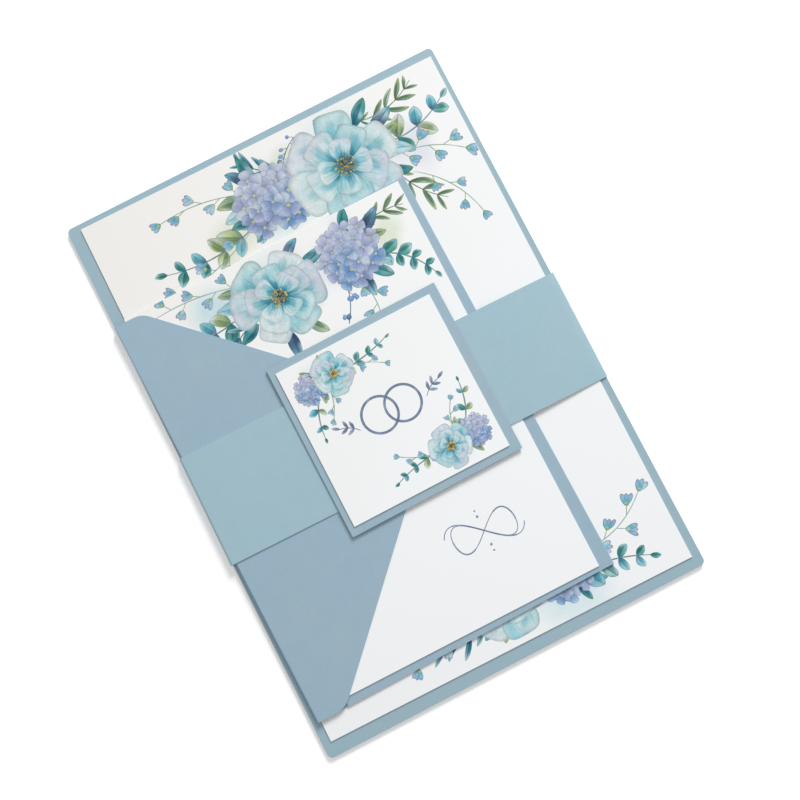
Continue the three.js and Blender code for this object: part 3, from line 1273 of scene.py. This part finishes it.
@dataclass
class ReplyEnvelope:
    """The envelope as one folded sheet, with its flap laid over the reply card.

    Attributes:
        flap_depth: from the fold to the flap's tip.
        shoulder: how far the flap runs along the envelope's end before it slants.
        shoulder_round: how far from the corner the shoulder's curve starts.
        tip_round: how far from the point the tip's curve starts.
        throat: from the fold to the back panel's free edge.
        paper: thickness of the paper.
        seam_depth: how far the glued seam flaps reach into the pocket.
        seam_taper: how much narrower a seam flap is at each side of its inner edge.
        clear: space between a seam flap and the panels that it is glued to.
        arc_steps: number of flat parts round half of a fold.
    """

    material: bpy.types.Material
    node: str = "reply_envelope"
    slot: str = "envelope_paper"
    flap_depth: float = 89.4
    shoulder: float = 10.8
    shoulder_round: float = 3.4
    tip_round: float = 5.0
    throat: float = 12.0
    paper: float = 0.18
    seam_depth: float = 18.0
    seam_taper: float = 6.0
    clear: float = 0.01
    arc_steps: int = 10

    def place(self) -> Place:
        """Where the envelope lies, read from the right-hand side of its front panel.

        Returns:
            its place, in millimetres.
        """
        spots = [vertex.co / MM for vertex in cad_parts[self.node].data.vertices]
        low, level_with = min(spot.z for spot in spots), 0.01
        floor = [spot for spot in spots if spot.z < low + level_with]
        right = [spot for spot in floor if spot.x > 0]
        foot = min(right, key=lambda spot: spot.y)
        head = max(right, key=lambda spot: spot.y)
        return Place.along((head - foot).xy.normalized(), spots, floor)

    def flap_edge(self, half_height: float, fold: float) -> list[Vector]:
        """Free edge of the flap from the middle of its tip up to its upper shoulder.

        Args:
            half_height: half of the envelope's height.
            fold: where the flap's fold lies.

        Returns:
            the points of the edge, in the envelope's own frame.
        """
        tip = at(fold + self.flap_depth, 0)
        corner = at(fold + self.shoulder, half_height)
        way = (corner - tip).normalized()
        first, last = tip + way * self.tip_round, corner - way * self.shoulder_round
        mirror = at(first.x, -first.y)
        end = at(corner.x - self.shoulder_round, corner.y)
        tip_steps, slant_steps, shoulder_steps = 6, 30, 9
        points = [
            self.bezier(mirror, tip, first, step / tip_steps / 2 + 0.5) for step in range(tip_steps + 1)
        ]
        points += [first.lerp(last, step / slant_steps) for step in range(1, slant_steps + 1)]
        points += [
            self.bezier(last, corner, end, step / shoulder_steps) for step in range(1, shoulder_steps + 1)
        ]
        return points

    @staticmethod
    def bezier(start: Vector, bend: Vector, end: Vector, share: float) -> Vector:
        """Point on a curve with one bend."""
        return start.lerp(bend, share).lerp(bend.lerp(end, share), share)

    def section(self, place: Place, free_edge: float) -> list[tuple[Vector, Vector]]:
        """Middle line of the paper from the flap's free edge, round both folds, to the throat.

        Args:
            place: of the envelope.
            free_edge: where the flap ends at this height of the envelope.

        Returns:
            each point in X and Z with the outward normal there.
        """
        half = self.paper / 2
        fold, side = -place.width / 2, place.width / 2
        rise = (place.top - place.bottom) / 2
        body = 3 * self.paper / 2
        left, right = fold + rise, side - body
        flap_steps, panel_steps = 12, 16
        up, down = at(0, 1), at(0, -1)
        flap_run, panel_run = (left - free_edge) / flap_steps, (right - left) / panel_steps
        line = [(at(free_edge + flap_run * step, 2 * rise - half), up) for step in range(flap_steps)]
        for step in range(self.arc_steps + 1):
            way = heading(90 + 180 * step / self.arc_steps)
            line.append((at(left, rise) + way * (rise - half), way))
        line += [(at(left + panel_run * step, half), down) for step in range(1, panel_steps)]
        for step in range(self.arc_steps + 1):
            way = heading(-90 + 180 * step / self.arc_steps)
            line.append((at(right, body) + way * (body - half), way))
        throat_run = (fold + self.throat - right) / panel_steps
        line += [(at(right + throat_run * step, 2 * body - half), up) for step in range(1, panel_steps + 1)]
        return line

    def build(self) -> bpy.types.Object:
        """Builds the envelope.

        Returns:
            the new piece.
        """
        place = self.place()
        upper = self.flap_edge(place.height / 2, -place.width / 2)
        rows = [at(point.x, -point.y) for point in reversed(upper[1:])] + upper
        body = bmesh.new()
        outer, inner = [], []
        half = self.paper / 2
        for row in rows:
            line = self.section(place, row.x)
            outer.append([body.verts.new((p.x + n.x * half, row.y, p.y + n.y * half)) for p, n in line])
            inner.append([body.verts.new((p.x - n.x * half, row.y, p.y - n.y * half)) for p, n in line])
        last = len(outer[0]) - 1
        for low, high, low_in, high_in in zip(outer, outer[1:], inner, inner[1:]):
            for step in range(last):
                body.faces.new((low[step], low[step + 1], high[step + 1], high[step]))
                body.faces.new((low_in[step], high_in[step], high_in[step + 1], low_in[step + 1]))
            body.faces.new((low[0], high[0], high_in[0], low_in[0]))
            body.faces.new((low[last], low_in[last], high_in[last], high[last]))
        for row, row_in in ((outer[0], inner[0]), (outer[-1], inner[-1])):
            for step in range(last):
                body.faces.new((row[step], row_in[step], row_in[step + 1], row[step + 1]))
        self.add_seams(body, place)
        bmesh.ops.recalc_face_normals(body, faces=body.faces)
        flat, cut_end = 0.999, 0.5
        for face in body.faces:
            face.smooth = abs(face.normal.z) < flat and abs(face.normal.y) < cut_end
        mesh = bpy.data.meshes.new("reply_envelope_folded")
        body.to_mesh(mesh)
        body.free()
        mesh.transform(Matrix.Scale(MM, 4) @ place.matrix())
        return add_piece("reply_envelope_folded", mesh, self.material, self.node)

    def add_seams(self, body: bmesh.types.BMesh, place: Place) -> None:
        """Adds the two glued seam flaps inside the pocket, tapered, a hair clear of both panels.

        Args:
            body: the envelope's mesh so far.
            place: where the envelope lies.
        """
        levels = (self.paper + self.clear, 2 * self.paper - self.clear)
        left = -place.width / 2 + self.throat
        right = place.width / 2 - 3 * self.paper / 2
        for side in (-1, 1):
            edge = side * (place.height / 2 - self.clear)
            inner = side * (place.height / 2 - self.seam_depth)
            narrow = (left + self.seam_taper, right - self.seam_taper)
            shape = ((left, edge), (right, edge), (narrow[1], inner), (narrow[0], inner))
            foot, head = ([body.verts.new((*spot, level)) for spot in shape] for level in levels)
            body.faces.new(foot)
            body.faces.new(head)
            for first in range(4):
                after = (first + 1) % 4
                body.faces.new((foot[first], foot[after], head[after], head[first]))


# Finishes


class Mixing(Enum):
    """How a mix node joins two colours."""

    BLEND = "MIX"
    TIMES = "MULTIPLY"


class NodeBench:
    """Short forms for laying out a material's nodes."""

    def __init__(self, name: str) -> None:
        """Makes the material.

        Args:
            name: of the new material.
        """
        self.material = bpy.data.materials.new(name)
        self.material.use_nodes = True
        self.tree = self.material.node_tree
        self.shader = self.tree.nodes["Principled BSDF"]
        self.place = self.tree.nodes.new("ShaderNodeTexCoord").outputs["Object"]

    def add(self, kind: str, inputs: dict, **settings: object) -> bpy.types.Node:
        """Adds a node, sets its fields, and fills or links its inputs.

        Args:
            kind: the node's type.
            inputs: values or sockets by the names of the inputs.
            **settings: the node's own fields.

        Returns:
            the node.
        """
        node = self.tree.nodes.new(kind)
        for key, value in settings.items():
            setattr(node, key, value)
        for key, value in inputs.items():
            self.feed(node.inputs[key], value)
        return node

    def feed(self, socket: bpy.types.NodeSocket, value: object) -> None:
        """Links a socket to another, or sets its value.

        Args:
            socket: the input.
            value: another socket, or a constant.
        """
        if isinstance(value, bpy.types.NodeSocket):
            self.tree.links.new(value, socket)
        else:
            socket.default_value = value

    def set(self, name: str, value: object) -> None:
        """Links a field of the shader to a socket, or sets its value."""
        self.feed(self.shader.inputs[name], value)

    def noise(self, scale: float, detail: float = 3.0, roughness: float = 0.55) -> bpy.types.NodeSocket:
        """Cloudy noise; scale is in bumps per metre.

        Args:
            scale: size of the noise.
            detail: number of finer layers.
            roughness: strength of those layers.

        Returns:
            the noise, about 0.5 in the middle.
        """
        node = self.add(
            "ShaderNodeTexNoise",
            {"Vector": self.place, "Scale": scale, "Detail": detail, "Roughness": roughness},
        )
        return node.outputs["Fac"]

    def span(
        self, value: bpy.types.NodeSocket, low: float, high: float, to_low: float, to_high: float
    ) -> bpy.types.NodeSocket:
        """Moves a value from one range to another.

        Args:
            value: what is moved.
            low: start of its own range.
            high: end of its own range.
            to_low: start of the new range.
            to_high: end of the new range.

        Returns:
            the moved value, held inside the new range.
        """
        node = self.add(
            "ShaderNodeMapRange",
            {"Value": value, "From Min": low, "From Max": high, "To Min": to_low, "To Max": to_high},
        )
        return node.outputs["Result"]

    def multiply(self, first: object, second: object) -> bpy.types.NodeSocket:
        """Product of two values."""
        node = self.add("ShaderNodeMath", {0: first, 1: second}, operation="MULTIPLY")
        return node.outputs["Value"]

    def tinted(
        self, colour: object, other: object, share: object, mode: Mixing = Mixing.BLEND
    ) -> bpy.types.NodeSocket:
        """Mixes two colours.

        Args:
            colour: the first colour.
            other: the second colour.
            share: how much the second one counts.
            mode: how they are joined.

        Returns:
            the joined colour.
        """
        node = self.tree.nodes.new("ShaderNodeMix")
        node.data_type = "RGBA"
        node.blend_type = mode.value
        self.feed(node.inputs["Factor"], share)
        self.feed(node.inputs[MIX_FIRST], colour)
        self.feed(node.inputs[MIX_SECOND], other)
        return node.outputs[MIX_RESULT]

    def bump(self, height: bpy.types.NodeSocket, distance: float, strength: float) -> None:
        """Feeds a bump to the shader; distance is in metres."""
        node = self.add("ShaderNodeBump", {"Height": height, "Distance": distance, "Strength": strength})
        self.set("Normal", node.outputs["Normal"])


@dataclass(frozen=True)
class PearlCard:
    """Blue card with a faint pearl: soft cloudy colour, fine fibres and a satin shine.

    Attributes:
        name: of the material.
        colour: of the card on screen.
        cloud: how much the colour drifts over some centimetres.
        grain: how much the fibres show.
        cool: what the colour is multiplied by where it is coolest.
        warm: what the colour is multiplied by where it is warmest.
        satin: roughness where the card is shiniest and where it is dullest.
        pearl: share of a metal's shine.
        gloss: strength of the clear reflection.
        tooth: depth of the surface's grain, in metres.
    """

    name: str
    colour: Colour
    cloud: float = 0.012
    grain: float = 0.045
    cool: Colour = (0.985, 0.998, 1.008)
    warm: Colour = (1.015, 1.002, 0.994)
    satin: tuple[float, float] = (0.5, 0.62)
    pearl: float = 0.08
    gloss: float = 0.3
    tooth: float = 0.00002

    def make(self) -> bpy.types.Material:
        """Makes the material.

        Returns:
            the material.
        """
        bench = NodeBench(self.name)
        drift = bench.span(bench.noise(45.0, 4.0), 0.3, 0.7, 0.0, 1.0)
        ends = (linear_colour(scaled(self.colour, factors)) for factors in (self.cool, self.warm))
        base = bench.tinted(*ends, drift)
        fibre = bench.span(bench.noise(1800.0, 5.0, 0.7), 0.25, 0.75, 1 - self.grain, 1 + self.grain)
        patch = bench.span(bench.noise(220.0, 3.0), 0.3, 0.7, 1 - self.cloud, 1 + self.cloud)
        base = bench.tinted(base, bench.multiply(fibre, patch), 1.0, Mixing.TIMES)
        bench.set("Base Color", base)
        bench.set("Roughness", bench.span(bench.noise(900.0, 3.0), 0.3, 0.7, *self.satin))
        bench.set("Metallic", self.pearl)
        bench.set("Specular IOR Level", self.gloss)
        bench.bump(bench.noise(2600.0, 4.0, 0.65), self.tooth, 0.5)
        return bench.material


@dataclass(frozen=True)
class PrintedStock:
    """White uncoated card that carries the print in its mesh, with a painted warm shade that makes the paper
    darker and warmer towards the upper left of the bundle.

    Attributes:
        name: of the material.
        paper: colour of the bare card on screen.
        granulation: how unevenly the pigment settles in the tooth of the card.
        painted_warm_shade: what the paper's colour is multiplied by where the painted warm shade is full; a
            darker, warmer cast that stands in for shade.
        painted_shade_way: direction across the bundle, towards its upper left, in which the painted shade
            grows.
        painted_shade_span: where along that way the painted shade starts and where it is full, in metres
            from the middle.
        dullness: roughness of the card.
        gloss: strength of the clear reflection.
        tooth: depth of the surface's grain, in metres.
    """

    name: str
    paper: Colour
    granulation: float = 0.16
    # Painted shade: the paper is made darker and warmer towards the upper left of the bundle, standing in
    # for shade and a warm reflection.
    painted_warm_shade: Colour = (0.978, 0.962, 0.942)
    painted_shade_way: tuple[float, float, float] = (-0.6, 0.8, 0.0)
    painted_shade_span: tuple[float, float] = (-0.02, 0.12)
    dullness: float = 0.78
    gloss: float = 0.25
    tooth: float = 0.00002

    def make(self) -> bpy.types.Material:
        """Makes the material.

        Returns:
            the material.
        """
        bench = NodeBench(self.name)
        ink = bench.add("ShaderNodeVertexColor", {}, layer_name="Ink")
        grain = bench.noise(1500.0, 4.0, 0.6)
        # Painted warm shade: the paper colour turns darker and warmer towards the upper left of the bundle.
        far = bench.add("ShaderNodeVectorMath", {0: bench.place, 1: self.painted_shade_way}, operation="DOT_PRODUCT")
        drift = bench.span(far.outputs["Value"], *self.painted_shade_span, 0.0, 1.0)
        warm_shaded_paper = linear_colour(scaled(self.paper, self.painted_warm_shade))
        paper = bench.tinted(linear_colour(self.paper), warm_shaded_paper, drift)
        grains = bench.span(grain, 0.35, 0.7, 1.0, 1.0 - self.granulation)
        light, dark = 1.0 + self.granulation / 2, 1.0 - self.granulation / 2
        pooled = bench.span(bench.noise(260.0, 3.0), 0.35, 0.65, light, dark)
        settled = bench.multiply(grains, pooled)
        inked = bench.tinted(ink.outputs["Color"], settled, ink.outputs["Alpha"], Mixing.TIMES)
        bench.set("Base Color", bench.tinted(inked, paper, 1.0, Mixing.TIMES))
        bench.set("Roughness", self.dullness)
        bench.set("Specular IOR Level", self.gloss)
        bench.bump(grain, self.tooth, 0.35)
        return bench.material


@dataclass(frozen=True)
class PaleFloor:
    """Plain white studio floor.

    Attributes:
        name: of the material.
        colour: of the floor on screen.
        unevenness: lowest brightness of its faint clouds.
        dullness: its roughness.
        glow: its own light, which keeps the shadows on it soft.
    """

    name: str = "studio_floor"
    colour: Colour = rgb(253, 253, 253)
    unevenness: float = 0.995
    dullness: float = 0.9
    glow: float = 0.14

    def make(self) -> bpy.types.Material:
        """Makes the material.

        Returns:
            the material.
        """
        bench = NodeBench(self.name)
        drift = bench.span(bench.noise(4.0, 2.0), 0.3, 0.7, self.unevenness, 1.0)
        bench.set("Base Color", bench.tinted(linear_colour(self.colour), drift, 1.0, Mixing.TIMES))
        bench.set("Roughness", self.dullness)
        bench.set("Emission Color", (1.0, 1.0, 1.0, 1.0))
        bench.set("Emission Strength", self.glow)
        return bench.material


@dataclass
class PearlSheet:
    """A blue card in one piece, shaped as its solid and softly rounded along its cut edges.

    Attributes:
        node: the solid that it stands for.
        slot: meant as the name of its material slot; not used.
        material: its finish.
        soft_edge: width of the rounding.
        cut_angle: edges sharper than this, in degrees, are cut edges; the others are folds.
        crease_angle: after the rounding, edges sharper than this, in degrees, are shaded as creases.
        flat_angle: faces that meet at less than this, in degrees, become one.
        joined: corners nearer to each other than this become one.
    """

    node: str
    slot: str
    material: bpy.types.Material
    soft_edge: float = 0.06
    cut_angle: float = 50.0
    crease_angle: float = 35.0
    flat_angle: float = 0.5
    joined: float = 0.001

    def build(self) -> bpy.types.Object:
        """Builds the sheet.

        Returns:
            the new piece.
        """
        body = bmesh.new()
        body.from_mesh(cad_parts[self.node].data)
        bmesh.ops.remove_doubles(body, verts=body.verts, dist=self.joined * MM)
        flat = math.radians(self.flat_angle)
        bmesh.ops.dissolve_limit(body, angle_limit=flat, verts=body.verts, edges=body.edges)
        cuts = [edge for edge in body.edges if edge.calc_face_angle(0.0) > math.radians(self.cut_angle)]
        bmesh.ops.bevel(
            body, geom=cuts, offset=self.soft_edge * MM, segments=2, profile=0.5,
            affect="EDGES", clamp_overlap=True,
        )
        for face in body.faces:
            face.smooth = True
        mesh = bpy.data.meshes.new(self.node + "_card")
        body.to_mesh(mesh)
        body.free()
        mesh.set_sharp_from_angle(angle=math.radians(self.crease_angle))
        piece = add_piece(self.node + "_card", mesh, self.material, self.node)
        even = piece.modifiers.new("even_shine", "WEIGHTED_NORMAL")
        even.weight = 100
        even.keep_sharp = True
        return piece


# Studio


@dataclass(frozen=True)
class Studio:
    """Floor, light and camera.

    Attributes:
        eye: place of the camera, in metres, in the frame of the bundle.
        right: the camera's right-hand direction.
        up: the camera's upward direction.
        lens: focal length for a sensor of 36 mm, in millimetres.
        key_power: of the large soft light, in watts.
        key_way: direction from the bundle to that light, in degrees from +X, and above the table.
        key_reach: distance from the bundle to that light, in metres.
        key_size: width of that light, in metres.
        sky_strength: of the even light from all round.
        floor_reach: half of the floor's side, in metres.
    """

    eye: Vector = field(default_factory=lambda: Vector((-0.006686, -0.038588, 0.421810)))
    right: Vector = field(default_factory=lambda: Vector((0.88901, -0.45772, -0.01210)))
    up: Vector = field(default_factory=lambda: Vector((0.45705, 0.88549, 0.08374)))
    lens: float = 53.41
    key_power: float = 58.0
    key_way: tuple[float, float] = (50.0, 25.0)
    key_reach: float = 2.2
    key_size: float = 0.8
    sky_strength: float = 0.55
    floor_reach: float = 2.5

    def build(self) -> None:
        """Builds the studio."""
        self.add_camera()
        self.add_floor()
        self.add_light()

    def add_camera(self) -> None:
        """Places the camera as in the photograph."""
        lens = bpy.data.cameras.new("camera")
        lens.lens = self.lens
        lens.sensor_width = 36.0
        lens.clip_start, lens.clip_end = 0.01, 20.0
        camera = bpy.data.objects.new("camera", lens)
        bpy.context.scene.collection.objects.link(camera)
        back = self.right.cross(self.up).normalized()
        turn = Matrix((self.right, back.cross(self.right), back)).transposed()
        camera.matrix_world = Matrix.Translation(self.eye) @ turn.to_4x4()
        bpy.context.scene.camera = camera

    def add_floor(self) -> None:
        """Lays the floor under the bundle."""
        reach = self.floor_reach
        mesh = bpy.data.meshes.new("floor")
        corners = [(-reach, -reach, 0), (reach, -reach, 0), (reach, reach, 0), (-reach, reach, 0)]
        mesh.from_pydata(corners, [], [(0, 1, 2, 3)])
        mesh.materials.append(PaleFloor().make())
        floor = bpy.data.objects.new("floor", mesh)
        bpy.context.scene.collection.objects.link(floor)

    def add_light(self) -> None:
        """Hangs one large soft light and fills the rest with even light."""
        azimuth, elevation = self.key_way
        level, rise = heading(elevation)
        way = Vector((*(heading(azimuth) * level), rise))
        lamp = bpy.data.lights.new("key", "AREA")
        lamp.shape = "DISK"
        lamp.size = self.key_size
        lamp.energy = self.key_power
        key = bpy.data.objects.new("key", lamp)
        key.location = way * self.key_reach
        key.rotation_mode = "QUATERNION"
        key.rotation_quaternion = way.to_track_quat("Z", "Y")
        bpy.context.scene.collection.objects.link(key)
        world = bpy.data.worlds.new("studio")
        world.use_nodes = True
        background = world.node_tree.nodes["Background"]
        background.inputs["Color"].default_value = (1.0, 1.0, 1.0, 1.0)
        background.inputs["Strength"].default_value = self.sky_strength
        bpy.context.scene.world = world
        bpy.context.scene.view_settings.view_transform = "Standard"


# Sub-assemblies


@dataclass
class InvitationCard:
    """The invitation: a blue backing and the white printed card glued to it."""

    backing: PearlCard = PearlCard("backing_pearl", rgb(152, 178, 189))
    stock: PrintedStock = PrintedStock("invitation_stock", rgb(236, 238, 239))
    print_seed: int = 11

    def build(self) -> None:
        """Builds both cards."""
        PearlSheet("invitation_backing", "backing_card", self.backing.make()).build()
        washes = InvitationPrint(self.print_seed).paint()
        PrintedCard("invitation_insert", "printed_card", washes, self.stock.make()).build()


@dataclass
class ReplySet:
    """The reply card in its envelope."""

    paper: PearlCard = PearlCard("envelope_pearl", rgb(152, 177, 192))
    stock: PrintedStock = PrintedStock("reply_stock", rgb(237, 239, 240))
    print_seed: int = 23

    def build(self) -> None:
        """Builds the envelope and the card."""
        ReplyEnvelope(self.paper.make()).build()
        washes = ReplyPrint(self.print_seed).paint()
        PrintedCard("reply_card", "reply_stock", washes, self.stock.make()).build()


@dataclass
class BellyBand:
    """The blue band wrapped round the bundle."""

    card: PearlCard = PearlCard("band_pearl", rgb(157, 186, 197))
    soft_edge: float = 0.05

    def build(self) -> None:
        """Builds the band."""
        PearlSheet("belly_band", "band_card", self.card.make(), self.soft_edge).build()


@dataclass
class SquareTag:
    """The tag on the band: a blue backing and the white printed square glued to it."""

    backing: PearlCard = PearlCard("tag_pearl", rgb(154, 178, 191))
    stock: PrintedStock = PrintedStock("tag_stock", rgb(237, 239, 240))
    print_seed: int = 37

    def build(self) -> None:
        """Builds both cards."""
        PearlSheet("tag_backing", "tag_card", self.backing.make()).build()
        washes = TagPrint(self.print_seed).paint()
        PrintedCard("tag_insert", "tag_stock", washes, self.stock.make(), fineness=0.5).build()


def main() -> None:
    """Builds the studio and the bundle."""
    logging.basicConfig(level=logging.INFO, format="%(message)s")
    Studio().build()
    InvitationCard().build()
    ReplySet().build()
    BellyBand().build()
    SquareTag().build()


if __name__ == "__main__":
    main()
